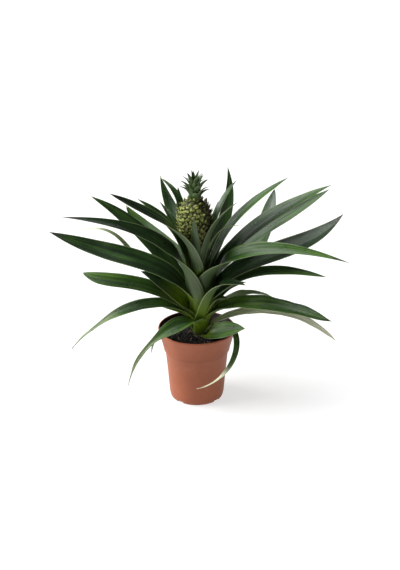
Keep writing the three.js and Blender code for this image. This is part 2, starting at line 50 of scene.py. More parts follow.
# ---- pot and soil ----
POT_STEPS = 128
POT_OUTSIDE = [  # radius, height
    (38.5, 0.25), (38.9, 0.0), (40.3, 1.2), (41.1, 3.0), (42.5, 9.0), (45.6, 46.0), (49.0, 80.2),
    (49.4, 80.8), (51.0, 81.4), (51.45, 82.0), (51.6, 84.0), (59.2, 113.4), (59.8, 114.2),
    (60.0, 115.0), (60.0, 116.2), (59.7, 116.8), (59.2, 117.0),
]
POT_INSIDE = [
    (58.5, 117.0), (58.1, 116.6), (57.6, 114.0), (49.7, 85.0), (47.2, 80.5), (40.7, 9.0),
    (37.5, 5.2), (0.0, 5.2),
]
POT_UNDERSIDE = [
    (0.0, 0.0), (9.7, 0.0), (10.1, 0.4), (10.8, 3.2), (32.7, 3.2), (33.0, 2.9), (33.0, 0.4), (33.4, 0.0),
]
DRAIN_TURNS = (50, 140, 230, 320)
DRAIN_SLOT = (16.0, 12.0, 6.4)  # outwards, across and upright; its lower half is below the pot
DRAIN_SLOT_PLACE = 37.5
DRAIN_HOLE_RADIUS = 4.0
DRAIN_HOLE_CIRCLE = 20.0
DRAIN_HOLE_STEPS = 32
POT_CREASE_ANGLE = 32  # degrees from which on an edge of the pot stays sharp

SOIL_LEVEL = 107.0
SOIL_LUMP = 1.5
SOIL_RADIUS = 54.6
SOIL_WALL = [(0.0, 5.5), (36.9, 5.5), (40.0, 9.0), (46.5, 80.5), (49.0, 85.0), (SOIL_RADIUS, 105.5)]
SOIL_EDGE = (50.0, 105.8)  # radius from which on the top settles, and the height it settles to
SOIL_STEPS = 160
SOIL_RINGS = 63
SOIL_RING_WIDTH = 0.85
SOIL_TOP_FROM = 104.0
STEM_HOLE = [(0.0, 77.2), (11.2, 77.2), (11.6, 120.0), (0.0, 120.0)]  # radius, height
CRUMBS = 1500
CRUMB_REACH = 53.5
CRUMB_SIZES = (0.5, 2.0)
FIBRES = 70
FIBRE_REACH = 50.0
FIBRE_LENGTHS = (4.0, 13.0)
CLEAR_OF_STEM = 12.5

# ---- stem ----
STEM_FOOT = Vector((8.0, 0.0, 77.5))
STEM_HEAD = Vector((-3.0, 0.0, 254.0))
STEM_GIRTH = [(77.5, 10.0), (120.0, 11.0), (170.0, 9.0), (215.0, 6.5), (254.0, 6.0)]
STEM_STEPS = 40
STEM_LEVELS = 60
STEM_RIDGE = 0.03

# ---- fruit and crown ----
FRUIT_FOOT = Vector((-3.0, 0.0, 254.3))
FRUIT_HEIGHT = 80.0
FRUIT_RADIUS = 23.8
EYE_COUNT = 230
EYE_ENDS = 16
EYE_RISE = 2.4
EYE_SHIFT = 0.03  # share of the height by which an eye strays
EYE_TURN = 7.0
FRUIT_STEPS = 260
FRUIT_ROWS = 150
FRUIT_CAP_ROWS = 6
BRACT_RAISED = 2.4
BRACT_LENGTHS = (5.0, 7.6)
BRACT_WIDTHS = (4.8, 6.4)
FLORET_LENGTHS = (2.4, 4.0)
FLORET_WIDTH = 2.8
BRACT_THICK = 0.7
CROWN_FOOT = Vector((-3.0, 0.0, 334.6))
CROWN_CORE_RADIUS = 10.0
CROWN_CORE_HEIGHT = 24.0
CROWN_CORE_TOP = 5.0
CROWN_LEAFLETS = 28
CROWN_SEED = 12
LEAFLET_LENGTH = 18.0
LEAFLET_WIDTH = 10.5
LEAFLET_RISES = (68.0, 88.0)
LEAFLET_CURL = 66.0
LEAFLET_THICK = 1.3
LEAFLET_SUNK = 1.4

# ---- blades ----
BLADE_EDGE = 0.6
BLADE_MIDDLE = 1.2
BLADE_ACROSS = 20
BLADE_ALONG = 72
BLADE_ARC = 55.0  # degrees that a blade is hollowed across at its tip
ROOT_ARC = 70.0  # how much more at its root
FOLD_MOST = 0.75
LEAST_WIDTH = 0.7
SLANT_FROM = 0.72
LINE_STEPS = 200
SHEATH_LENGTH = 26.0  # length of blade that wraps round the stalk
SHEATH_DROP = 13.0  # how far below its take-off a blade is rooted
SHEATH_WRAP = 86.0  # degrees to each side of the heading
SHEATH_GAP = 0.7
SHEATH_FLARE = 0.13
WIDE_BLADE = 34.0
YELLOW_FROM = 12.0
YELLOW_LENGTH = 44.0
FOOT_SHADE_HEIGHTS = (109.0, 122.0)  # heights between which the painted shade on the foot of a blade fades back to green

# heading and rise give the direction in which a leaf leaves the stem at its height, fall the angle
# below level at its tip. grip and reach are how far the two end directions carry, roll tilts the
# blade about its length from hold on, neck is the place and width of a curled-up length, turn
# swings the tip. base is the share of the width at the root, peak the widest place, and taper how
# late a blade narrows from there.
LEAVES = {
    "lower_01": dict(heading=198, height=129, rise=56, tip=(-192, -41, 99), fall=52, width=28, roll=-12,
                     neck=(0.62, 0.3)),
    "lower_02": dict(heading=282, height=122, rise=53, tip=(-105, -71, 51), fall=78, width=28, roll=-16,
                     base=0.8, grip=0.31, reach=0.68, neck=(0.45, 0.28)),
    "lower_03": dict(heading=190, height=117, rise=50, tip=(-70, -28, 86), fall=82, width=12, grip=0.55,
                     reach=0.5),
    "lower_04": dict(heading=184, height=134, rise=30, tip=(-78, 3, 159), fall=-8, width=20, roll=-15),
    "lower_05": dict(heading=300, height=116, rise=76, tip=(74, -57, 215), fall=-4, width=36, roll=12,
                     base=0.95, grip=0.7, reach=0.4, peak=0.3),
    "lower_06": dict(heading=332, height=126, rise=62, tip=(47, -24, 176), fall=16, width=20, roll=10),
    "lower_07": dict(heading=18, height=128, rise=51, tip=(121, 52, 139), fall=46, width=20),
    "lower_08": dict(heading=340, height=132, rise=48, tip=(205, -67, 160), fall=8, width=34, roll=14,
                     taper=3, grip=0.35, base=0.85),
    "lower_09": dict(heading=350, height=118, rise=36, tip=(212, -37, 113), fall=42, width=24, roll=10),
    "lower_10": dict(heading=300, height=113, rise=10, tip=(74, -43, 135), fall=-8, width=30, roll=48,
                     base=0.95),
    "lower_11": dict(heading=346, height=113, rise=36, tip=(0, -72, 47), fall=5, width=14, turn=-64,
                     grip=0.85, reach=0.82),
    "lower_12": dict(heading=100, height=120, rise=25, tip=(-20, 175, 95), fall=45, width=32),
    "lower_13": dict(heading=65, height=122, rise=30, tip=(60, 165, 110), fall=40, width=30),
    "lower_14": dict(heading=118, height=128, rise=35, tip=(-80, 165, 130), fall=30, width=32),
    "middle_01": dict(heading=192, height=156, rise=62, tip=(-223, -8, 281), fall=-26, width=40, roll=-28,
                      grip=0.41, reach=0.56, taper=2.4, base=0.7),
    "middle_02": dict(heading=242, height=129, rise=79, tip=(-203, -36, 317), fall=-7, width=40, roll=-44,
                      hold=0.2, base=1, grip=0.42, reach=0.59, peak=0.34, taper=0.9),
    "middle_03": dict(heading=142, height=158, rise=44, tip=(-163, 50, 316), fall=-26, width=33, roll=-14,
                      grip=0.35),
    "middle_04": dict(heading=119, height=193, rise=42, tip=(-112, 108, 278), fall=-50, width=26, roll=-8,
                      grip=0.38, reach=0.32, taper=4),
    "middle_05": dict(heading=194, height=141, rise=46, tip=(-86, 0, 212), fall=-22, width=32, roll=-30,
                      base=0.7),
    "middle_06": dict(heading=188, height=134, rise=48, tip=(-175, -12, 203), fall=-2, width=30, roll=-24,
                      grip=0.25, reach=0.6, taper=7),
    "middle_07": dict(heading=166, height=150, rise=27.5, tip=(-186, 40, 264), fall=15, width=12, roll=-20,
                      grip=0.65, reach=0.45, taper=1.2),
    "middle_08": dict(heading=22, height=160, rise=35, tip=(124, 148, 289), fall=-72, width=34, grip=0.5,
                      reach=0.45, taper=5),
    "middle_09": dict(heading=357, height=133, rise=52, tip=(76, -5, 196), fall=-9, width=18, roll=10),
    "middle_10": dict(heading=2, height=170, rise=66, tip=(206, 44, 337), fall=-21, width=32, roll=16,
                      grip=0.33, reach=0.5),
    "middle_11": dict(heading=35, height=172, rise=56, tip=(207, 103, 306), fall=-25, width=35, roll=20),
    "middle_12": dict(heading=352, height=156, rise=62, tip=(221, 0, 307), fall=-54, width=42, roll=24,
                      grip=0.45, reach=0.38, peak=0.55),
    "middle_13": dict(heading=275, height=127, rise=87, tip=(227, -74, 259), fall=13, width=40, roll=46,
                      hold=0.18, base=1, grip=0.36, reach=0.69, peak=0.3, taper=0.95),
    "middle_14": dict(heading=340, height=142, rise=62, tip=(196, -28, 215), fall=10, width=27, roll=14,
                      grip=0.48),
    "middle_15": dict(heading=85, height=140, rise=42, tip=(15, 195, 150), fall=25, width=34),
    "middle_16": dict(heading=60, height=136, rise=38, tip=(90, 160, 135), fall=30, width=32),
    "middle_17": dict(heading=98, height=150, rise=50, tip=(-8, 185, 190), fall=15, width=34),
    "middle_18": dict(heading=80, height=160, rise=55, tip=(30, 170, 215), fall=5, width=32),
    "upper_01": dict(heading=268, height=196, rise=62, tip=(-128, -37, 355), fall=-33, width=30, roll=-30,
                     base=0.7, grip=0.55, reach=0.5, peak=0.45),
    "upper_02": dict(heading=185, height=205, rise=68, tip=(-90, 13, 327), fall=-34, width=24, roll=-15,
                     grip=0.5, reach=0.5),
    "upper_03": dict(heading=96, height=192, rise=48, tip=(-58, 143, 314), fall=-57, width=26),
    "upper_04": dict(heading=118, height=222, rise=56, tip=(-57, 68, 339), fall=-7, width=16, grip=0.5,
                     reach=0.45),
    "upper_05": dict(heading=128, height=185, rise=67, tip=(-58, 80, 295), fall=-24, width=18),
    "upper_06": dict(heading=118, height=215, rise=60, tip=(-29, 66, 325), fall=-78, width=22),
    "upper_07": dict(heading=266, height=196, rise=82, tip=(-4, -45, 321), fall=-75, width=15, base=0.9),
    "upper_08": dict(heading=310, height=188, rise=78, tip=(61, -29, 338), fall=-40, width=20, base=0.9,
                     grip=0.45),
    "upper_09": dict(heading=34, height=182, rise=68, tip=(47, 56, 362), fall=-62, width=22, turn=62,
                     grip=0.45, reach=0.3),
    "upper_10": dict(heading=335, height=196, rise=73, tip=(61, 43, 345), fall=-32, width=20, base=0.9,
                     grip=0.5, reach=0.35),
    "upper_11": dict(heading=60, height=215, rise=57, tip=(33, 70, 299), fall=-61, width=16),
    "upper_12": dict(heading=2, height=187, rise=68, tip=(138, 24, 357), fall=-33, width=30, roll=4,
                     grip=0.44, reach=0.5),
    "upper_13": dict(heading=335, height=205, rise=71, tip=(66, -20, 296), fall=-2, width=8, grip=0.5),
    "upper_14": dict(heading=72, height=200, rise=66, tip=(14, 85, 278), fall=-45, width=22),
}

# green is how bright a blade is, far how much brighter it is towards the tip, yellow how far the pale
# base reaches, pale from where on it is sage green, dry how withered it is, tip_dry where the dry tip
# begins, burnt how dark the tip is, wave how much it ripples, fold how sharp its middle crease is,
# slim its width left at the tip, oblique how far the tip sits to one side.
COMMON_TONES = dict(far=0.12, yellow=0.7, dry=0.0, tip_dry=0.985, burnt=0.0, wave=0.5, fold=0.6, slim=1.0,
                    oblique=0.0)
COMMON_GREEN = (0.24, 0.40)
BLADE_TONES = {
    "lower_01": dict(green=0.4, far=0.3, pale=0.52, wave=1.4),
    "lower_02": dict(green=0.46, far=0.3, pale=0.42, wave=1.2),
    "lower_03": dict(green=0.25),
    "lower_04": dict(green=0.46, yellow=1.8),
    "lower_05": dict(green=0.5, far=-0.35, yellow=2.0, wave=0.8),
    "lower_06": dict(green=0.3, yellow=1.8),
    "lower_07": dict(green=0.8, pale=0.1, dry=0.15, wave=1.6),
    "lower_08": dict(green=0.86, far=-0.42, wave=2.4, yellow=0.6),
    "lower_09": dict(green=1.0, dry=0.85, far=0.1, tip_dry=0.45, yellow=0.5, wave=1.5),
    "lower_10": dict(green=0.6, yellow=0.4, wave=1.2),
    "lower_11": dict(green=0.5, pale=0.55, tip_dry=0.56, slim=0.35),
    "middle_01": dict(green=0.22, far=0.15, burnt=0.8, fold=1.0),
    "middle_02": dict(green=0.1, far=0.15, yellow=1.2, burnt=0.8),
    "middle_03": dict(green=0.3, far=0.15, fold=1.0),
    "middle_04": dict(green=0.5, tip_dry=0.96),
    "middle_05": dict(green=0.22, yellow=1.7),
    "middle_06": dict(green=0.2, far=0.6, yellow=1.8, oblique=-1.0),
    "middle_07": dict(green=0.8, pale=0.05, dry=0.3, tip_dry=0.8),
    "middle_10": dict(green=0.26, far=0.25, fold=1.0),
    "middle_11": dict(green=0.3),
    "middle_12": dict(green=0.2, far=0.1, burnt=0.7),
    "middle_13": dict(green=0.44, far=0.15, yellow=1.1, burnt=0.7, fold=0.8),
    "middle_14": dict(green=0.45, far=0.2),
    "upper_01": dict(green=0.06, burnt=0.5),
    "upper_13": dict(green=0.7, pale=0.1, dry=0.15, tip_dry=0.9),
}


# ---- small helpers ----
def clamp(value, low=0.0, high=1.0):
    return max(low, min(high, value))


def mix(a, b, share):
    return a + (b - a) * share


def smoothstep(value, low, high):
    share = clamp((value - low) / (high - low))
    return share * share * (3 - 2 * share)


def direction(heading, elevation):
    turn, lift = math.radians(heading), math.radians(elevation)
    return Vector((math.cos(turn) * math.cos(lift), math.sin(turn) * math.cos(lift), math.sin(lift)))


def along_table(table, place):
    """Value at a place in a table of (place, value) rows, straight between the rows."""
    for (low, low_value), (high, high_value) in zip(table, table[1:]):
        if place <= high:
            return mix(low_value, high_value, (place - low) / (high - low))
    return table[-1][1]


def make_piece(bm, name, material, nodes=(), flat_above=None):
    """Turns a finished bmesh, in millimetres, into a piece that moves with the plant."""
    bmesh.ops.scale(bm, vec=(MM, MM, MM), verts=bm.verts)
    bmesh.ops.recalc_face_normals(bm, faces=bm.faces)
    mesh = bpy.data.meshes.new(name)
    bm.to_mesh(mesh)
    bm.free()
    for face in mesh.polygons:
        face.use_smooth = True
    if flat_above is not None:
        mesh.set_sharp_from_angle(angle=math.radians(flat_above))
    piece = bpy.data.objects.new(name, mesh)
    bpy.context.scene.collection.objects.link(piece)
    mesh.materials.append(material)
    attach(piece, "root")
    if nodes:
        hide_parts(*nodes)
    return piece


def turned_shape(bm, profile, steps):
    """Spins a profile of (radius, height) about the upright axis through the origin."""
    points = [bm.verts.new((radius, 0.0, height)) for radius, height in profile]
    lines = [bm.edges.new(pair) for pair in zip(points, points[1:])]
    bmesh.ops.spin(bm, geom=points + lines, cent=(0, 0, 0), axis=(0, 0, 1), angle=2 * math.pi,
                   steps=steps, use_merge=True)
    bmesh.ops.remove_doubles(bm, verts=bm.verts, dist=0.001)


def cut_out(piece, cutter_bm):
    """Takes the cutter's shape out of a piece and keeps the result as the piece's own mesh."""
    bmesh.ops.scale(cutter_bm, vec=(MM, MM, MM), verts=cutter_bm.verts)
    mesh = bpy.data.meshes.new("cutter")
    cutter_bm.to_mesh(mesh)
    cutter_bm.free()
    cutter = bpy.data.objects.new("cutter", mesh)
    bpy.context.scene.collection.objects.link(cutter)
    cut = piece.modifiers.new("cut", "BOOLEAN")
    cut.operation = "DIFFERENCE"
    cut.solver = "EXACT"
    cut.object = cutter
    bpy.context.view_layer.update()
    shaped = piece.evaluated_get(bpy.context.evaluated_depsgraph_get())
    whole = bpy.data.meshes.new_from_object(shaped)
    piece.modifiers.remove(cut)
    name, old = piece.data.name, piece.data
    piece.data = whole
    bpy.data.meshes.remove(old)
    piece.data.name = name
    bpy.data.objects.remove(cutter)
    bpy.data.meshes.remove(mesh)


def new_sheet(layers, across, along):
    """A thin closed sheet in a bmesh of its own, with vertex layers of the given names.

    Also gives its points as (point, across -1..1, along 0..1, under 0 or 1).
    """
    bm = bmesh.new()
    marks = [bm.verts.layers.float_vector.new(layer) for layer in layers]
    bmesh.ops.create_grid(bm, x_segments=across, y_segments=along, size=1.0)
    bmesh.ops.solidify(bm, geom=list(bm.faces), thickness=0.01)
    points = []
    for point in bm.verts:
        under = 1.0 if abs(point.co.z) > 0.005 else 0.0
        points.append((point, point.co.x, (point.co.y + 1) / 2, under))
    return bm, marks, points


def join(bm, part):
    """Moves all of one bmesh into another."""
    mesh = bpy.data.meshes.new("part")
    part.to_mesh(mesh)
    part.free()
    bm.from_mesh(mesh)
    bpy.data.meshes.remove(mesh)


# ---- node trees ----
class Finish:
    """A material that is built node by node round one Principled shader."""

    def __init__(self, name, **constants):
        self.material = bpy.data.materials.new(name)
        self.material.use_nodes = True
        self.tree = self.material.node_tree
        self.shader = self.tree.nodes["Principled BSDF"]
        for socket, value in constants.items():
            self.shader.inputs[socket.replace("_", " ")].default_value = value

    def add(self, kind, inputs=None, **settings):
        node = self.tree.nodes.new(kind)
        for key, value in settings.items():
            setattr(node, key, value)
        for key, value in (inputs or {}).items():
            self.feed(node.inputs[key], value)
        return node

    def feed(self, socket, value):
        if isinstance(value, bpy.types.NodeSocket):
            self.tree.links.new(value, socket)
        elif isinstance(value, tuple) and len(value) == 3 and len(socket.default_value) == 4:
            socket.default_value = (*value, 1.0)
        else:
            socket.default_value = value

    def math(self, operation, *values, clamped=False):
        node = self.add("ShaderNodeMath", dict(enumerate(values)), operation=operation)
        node.use_clamp = clamped
        return node.outputs[0]

    def times(self, one, other, clamped=False):
        return self.math("MULTIPLY", one, other, clamped=clamped)

    def varied(self, value, pattern, amount, clamped=False):
        """The value raised or lowered by a pattern about its middle, 0.5."""
        change = self.times(self.math("SUBTRACT", pattern, 0.5), amount)
        return self.math("ADD", value, change, clamped=clamped)

    def weighed(self, one, one_weight, other, other_weight):
        return self.math("ADD", self.times(one, one_weight), self.times(other, other_weight))

    def tinted(self, colour, share, most, tint):
        """The colour with a tint over it; most is how much of the tint shows where share is 1."""
        return self.blend(self.times(share, most), colour, tint)

    def stretched(self, vector, across, along):
        """Coordinates scaled by one factor level with the ground and another upright."""
        return self.add("ShaderNodeMapping", {"Vector": vector, "Scale": (across, across, along)}).outputs[0]

    def attribute(self, name):
        node = self.add("ShaderNodeAttribute", attribute_name=name)
        parts = self.add("ShaderNodeSeparateXYZ", {0: node.outputs["Vector"]})
        return parts.outputs[0], parts.outputs[1], parts.outputs[2]

    def place(self):
        return self.add("ShaderNodeTexCoord").outputs["Object"]

    def point(self, x, y, z):
        return self.add("ShaderNodeCombineXYZ", {0: x, 1: y, 2: z}).outputs[0]

    def noise(self, vector, scale, detail=3.0, roughness=0.5):
        inputs = {"Vector": vector, "Scale": scale, "Detail": detail, "Roughness": roughness}
        return self.add("ShaderNodeTexNoise", inputs).outputs[0]

    def cells(self, vector, scale, feature="F1"):
        node = self.add("ShaderNodeTexVoronoi", {"Vector": vector, "Scale": scale}, feature=feature)
        return node.outputs["Distance"]

    def span(self, value, low, high, to_low=0.0, to_high=1.0):
        inputs = {0: value, 1: low, 2: high, 3: to_low, 4: to_high}
        node = self.add("ShaderNodeMapRange", inputs, interpolation_type="SMOOTHSTEP")
        return node.outputs[0]

    def blend(self, share, one, other):
        node = self.add("ShaderNodeMix", data_type="RGBA")
        self.feed(node.inputs[0], share)
        self.feed(node.inputs[6], one)
        self.feed(node.inputs[7], other)
        return node.outputs[2]

    def ramp(self, value, *stops):
        node = self.add("ShaderNodeValToRGB", {0: value})
        ends = node.color_ramp.elements
        while len(ends) < len(stops):
            ends.new(0.5)
        for end, (place, colour) in zip(ends, stops):
            end.position = place
            end.color = (*colour, 1.0)
        return node.outputs[0]

    def bump(self, height, distance, strength=1.0, under=None):
        inputs = {"Height": height, "Distance": distance, "Strength": strength}
        if under is not None:
            inputs["Normal"] = under
        return self.add("ShaderNodeBump", inputs).outputs[0]

    def finish(self, **outputs):
        for socket, value in outputs.items():
            self.tree.links.new(value, self.shader.inputs[socket.replace("_", " ")])
        return self.material


def leaf_finish():
    """Waxy green blade: fine parallel veins, pale base and margins, greyish scales underneath."""
    leaf = Finish("pineapple_leaf", Specular_IOR_Level=0.5)
    across, along, under = leaf.attribute("blade_map")
    green, yellow, dry = leaf.attribute("blade_tone")
    # the third part of blade_seed is the burnt tip together with painted shade on the foot of a blade
    seed, sage_part, burnt = leaf.attribute("blade_seed")
    place = leaf.place()
    broad = leaf.point(leaf.times(across, 4.2), leaf.times(along, 1.6), seed)
    veins = leaf.noise(broad, 1.0, 4.0, 0.65)
    fine = leaf.point(leaf.times(across, 40.0), leaf.times(along, 2.4), seed)
    fine_veins = leaf.noise(fine, 1.0, 2.0, 0.6)
    patches = leaf.noise(place, 26.0, 3.0, 0.55)
    lines = leaf.weighed(veins, 0.6, fine_veins, 0.4)
    tone = leaf.varied(green, lines, 2.2)
    tone = leaf.varied(tone, patches, 0.5, clamped=True)
    upper = leaf.ramp(tone, (0.0, (0.002, 0.008, 0.002)), (0.35, (0.011, 0.036, 0.006)),
                      (0.65, (0.042, 0.112, 0.013)), (1.0, (0.130, 0.260, 0.026)))
    scales = leaf.span(fine_veins, 0.35, 0.7)
    grey = leaf.blend(scales, (0.026, 0.046, 0.017), (0.076, 0.106, 0.048))
    grey = leaf.blend(leaf.times(green, 0.6, clamped=True), grey, (0.10, 0.17, 0.055))
    colour = leaf.blend(under, upper, grey)
    pale = leaf.blend(veins, (0.065, 0.135, 0.001), (0.190, 0.290, 0.003))
    colour = leaf.blend(leaf.times(yellow, leaf.span(lines, 0.2, 0.7, 0.8, 1.0)), colour, pale)
    rim = leaf.span(leaf.math("ABSOLUTE", across), 0.91, 0.99)
    colour = leaf.tinted(colour, rim, 0.7, (0.23, 0.29, 0.12))
    straw = leaf.blend(leaf.span(lines, 0.35, 0.6), (0.42, 0.47, 0.20), (0.93, 0.93, 0.74))
    withered = leaf.math("SUBTRACT", leaf.times(dry, 1.6), leaf.times(veins, 0.6), clamped=True)
    sage = leaf.blend(fine_veins, (0.085, 0.135, 0.045), (0.230, 0.290, 0.130))
    colour = leaf.tinted(colour, sage_part, 0.85, sage)
    colour = leaf.blend(withered, colour, straw)
    # near-black brown both where the tip is burnt and where shade is painted on the foot of a blade
    colour = leaf.blend(burnt, colour, (0.022, 0.014, 0.012))
    gloss = leaf.math("ADD", leaf.span(patches, 0.3, 0.7, 0.26, 0.38), leaf.times(under, 0.14))
    gloss = leaf.math("ADD", gloss, leaf.times(dry, 0.25))
    relief = leaf.bump(lines, 0.0007, 0.9)
    return leaf.finish(Base_Color=colour, Roughness=gloss, Normal=relief)


def stem_finish():
    """Pale green stalk with faint lengthwise ribs, rings where leaves were, and painted shade near the soil.
    """
    stem = Finish("pineapple_stalk")
    place = stem.place()
    ribs = stem.noise(stem.stretched(place, 900.0, 40.0), 1.0, 3.0)
    height = stem.add("ShaderNodeSeparateXYZ", {0: place}).outputs[2]
    rings = stem.noise(stem.stretched(place, 20.0, 260.0), 1.0, 2.0)
    colour = stem.ramp(stem.weighed(ribs, 0.6, rings, 0.4),
                       (0.3, (0.07, 0.09, 0.012)), (0.7, (0.22, 0.25, 0.05)))
    # painted shade: the stalk turns near-black below 122 mm, where it stands in shade at the soil
    colour = stem.blend(stem.span(height, 0.122, 0.110), colour, (0.008, 0.007, 0.004))
    rough = stem.span(rings, 0.3, 0.7, 0.45, 0.65)
    return stem.finish(Base_Color=colour, Roughness=rough, Normal=stem.bump(ribs, 0.0006, 0.6))


def fruit_finish():
    """Unripe fruit: yellow-green eyes that darken in the valleys, brown where flowers dried, and painted
    shade on the side away from the key lamp.
    """
    skin = Finish("pineapple_skin", Specular_IOR_Level=0.35)
    height, _, chance = skin.attribute("eye_map")
    shade = skin.attribute("eye_painted_shade")[0]
    place = skin.place()
    grain = skin.noise(place, 420.0, 4.0, 0.6)
    blotch = skin.noise(place, 75.0, 3.0, 0.55)
    tone = skin.varied(height, grain, 1.3)
    tone = skin.varied(tone, chance, 0.8, clamped=True)
    colour = skin.ramp(tone, (0.08, (0.012, 0.011, 0.002)), (0.38, (0.050, 0.058, 0.008)),
                       (0.70, (0.120, 0.145, 0.022)), (0.98, (0.38, 0.42, 0.110)))
    brown = skin.times(skin.span(blotch, 0.45, 0.7), skin.span(chance, 0.35, 0.9))
    colour = skin.tinted(colour, brown, 0.7, (0.050, 0.030, 0.008))
    # painted shade: the side turned from the key lamp is tinted near-black
    colour = skin.tinted(colour, shade, 0.85, (0.020, 0.016, 0.004))
    rough = skin.span(grain, 0.3, 0.7, 0.34, 0.55)
    return skin.finish(Base_Color=colour, Roughness=rough, Normal=skin.bump(grain, 0.0016, 0.7))


def bract_finish():
    """Small papery bracts: yellow-green with pale points, brown and dark on the side away from the key lamp,
    partly real withering and partly painted shade.
    """
    bract = Finish("fruit_bract", Specular_IOR_Level=0.35)
    _, along, chance = bract.attribute("blade_map")
    brown = bract.attribute("bract_brown_shade")[0]
    place = bract.place()
    grain = bract.noise(place, 600.0, 3.0, 0.6)
    tone = bract.varied(along, grain, 0.5)
    tone = bract.varied(tone, chance, 0.6, clamped=True)
    fresh = bract.ramp(tone, (0.05, (0.030, 0.045, 0.006)), (0.40, (0.110, 0.145, 0.024)),
                       (0.75, (0.30, 0.34, 0.095)), (1.0, (0.62, 0.64, 0.26)))
    dead = bract.ramp(tone, (0.05, (0.022, 0.022, 0.005)), (0.40, (0.080, 0.078, 0.018)),
                      (0.75, (0.070, 0.042, 0.014)), (1.0, (0.014, 0.007, 0.004)))
    colour = bract.blend(brown, fresh, dead)
    rough = bract.span(grain, 0.3, 0.7, 0.5, 0.7)
    return bract.finish(Base_Color=colour, Roughness=rough, Normal=bract.bump(grain, 0.0004, 0.5))


def crown_finish():
    """Crown leaflets: grey-green with a bloom, fine veins and darker, browner points."""
    crown = Finish("crown_leaflet", Specular_IOR_Level=0.32)
    across, along, chance = crown.attribute("blade_map")
    place = crown.place()
    lengthwise = crown.point(crown.times(across, 9.0), crown.times(along, 1.3), crown.times(chance, 30.0))
    veins = crown.noise(lengthwise, 1.0, 3.0, 0.6)
    bloom = crown.noise(place, 130.0, 3.0, 0.6)
    tone = crown.weighed(veins, 0.6, bloom, 0.4)
    tone = crown.varied(tone, chance, 0.3, clamped=True)
    colour = crown.ramp(tone, (0.25, (0.014, 0.040, 0.011)), (0.5, (0.050, 0.105, 0.032)),
                        (0.8, (0.150, 0.220, 0.085)))
    foot = crown.span(along, 0.35, 0.0)
    colour = crown.tinted(colour, foot, 0.5, (0.080, 0.120, 0.025))
    rim = crown.span(crown.math("ABSOLUTE", across), 0.75, 1.0)
    colour = crown.tinted(colour, rim, 0.45, (0.26, 0.27, 0.14))
    point = crown.span(along, 0.72, 1.0)
    colour = crown.tinted(colour, point, 0.75, (0.030, 0.028, 0.014))
    rough = crown.span(bloom, 0.3, 0.7, 0.42, 0.58)
    return crown.finish(Base_Color=colour, Roughness=rough, Normal=crown.bump(veins, 0.0005, 0.6))


def pot_finish():
    """Matte terracotta plastic with a fine moulded grain, faint mottling and dusty scuffs, and painted shade
    inside the rim, in the drain notches and under the collar.
    """
    pot = Finish("terracotta_plastic", Specular_IOR_Level=0.35)
    place = pot.place()
    cloud = pot.noise(place, 16.0, 4.0, 0.55)
    grain = pot.noise(place, 1500.0, 2.0, 0.6)
    flow = pot.noise(pot.stretched(place, 24.0, 160.0), 1.0, 3.0, 0.5)
    tone = pot.weighed(cloud, 0.85, flow, 0.15)
    colour = pot.ramp(tone, (0.3, (0.262, 0.070, 0.028)), (0.5, (0.300, 0.083, 0.034)),
                      (0.72, (0.340, 0.100, 0.043)))
    specks = pot.span(pot.noise(place, 700.0, 2.0, 0.7), 0.64, 0.74)
    colour = pot.tinted(colour, specks, 0.3, (0.19, 0.060, 0.032))
    dust = pot.times(pot.span(pot.noise(place, 60.0, 5.0, 0.7), 0.56, 0.72), 0.15)
    colour = pot.blend(dust, colour, (0.42, 0.24, 0.17))
    sideways, away, height = pot.add("ShaderNodeSeparateXYZ", {0: place}).outputs
    squares = pot.math("ADD", pot.math("POWER", sideways, 2.0), pot.math("POWER", away, 2.0))
    radius = pot.math("SQRT", squares)
    lean = pot.math("SUBTRACT", radius, pot.times(height, 0.264))
    # painted shade: the inner wall above the soil and the drain notches at the foot are darkened to
    # near-black
    inner_wall_shade = pot.times(pot.span(lean, 0.0285, 0.0281), pot.span(height, 0.100, 0.102))
    inner_wall_shade = pot.times(inner_wall_shade, pot.span(height, 0.1168, 0.1160))
    notch_shade = pot.times(pot.span(radius, 0.0402, 0.0396), pot.span(height, 0.0044, 0.0040))
    dark = pot.math("ADD", inner_wall_shade, notch_shade, clamped=True)
    colour = pot.tinted(colour, dark, 0.97, (0.010, 0.006, 0.004))
    # painted shade: a dark band on the body just under the collar's overhang
    crease = pot.times(pot.span(height, 0.0776, 0.0806), pot.span(height, 0.0822, 0.0812))
    colour = pot.tinted(colour, crease, 0.35, (0.080, 0.022, 0.012))
    rough = pot.span(cloud, 0.3, 0.7, 0.5, 0.62)
    relief = pot.bump(grain, 0.00012, 0.6, pot.bump(flow, 0.0003, 0.12))
    return pot.finish(Base_Color=colour, Roughness=rough, Normal=relief)


def soil_finish(name, dark, light):
    """Damp peat: nearly black, with brown crumbs and a coarse broken surface."""
    soil = Finish(name)
    place = soil.place()
    clods = soil.noise(place, 260.0, 5.0, 0.65)
    grit = soil.cells(place, 520.0)
    tone = soil.weighed(clods, 0.7, grit, 0.4)
    colour = soil.ramp(tone, (0.3, dark), (0.75, light))
    rough = soil.span(clods, 0.3, 0.7, 0.75, 0.95)
    relief = soil.bump(tone, 0.0012, 0.8)
    return soil.finish(Base_Color=colour, Roughness=rough, Normal=relief)


def fibre_finish():
    """Pale wood fibres and straw in the peat."""
    fibre = Finish("peat_fibre")
    place = fibre.place()
    grain = fibre.noise(place, 900.0, 3.0)
    colour = fibre.ramp(grain, (0.3, (0.16, 0.09, 0.045)), (0.7, (0.50, 0.38, 0.24)))
    rough = fibre.span(grain, 0.3, 0.7, 0.7, 0.85)
    return fibre.finish(Base_Color=colour, Roughness=rough, Normal=fibre.bump(grain, 0.0003, 0.5))


# ---- stem ----
def stem_axis(height):
    """Centre of the leaning stem at a height."""
    share = (height - STEM_FOOT.z) / (STEM_HEAD.z - STEM_FOOT.z)
    return STEM_FOOT.lerp(STEM_HEAD, share)


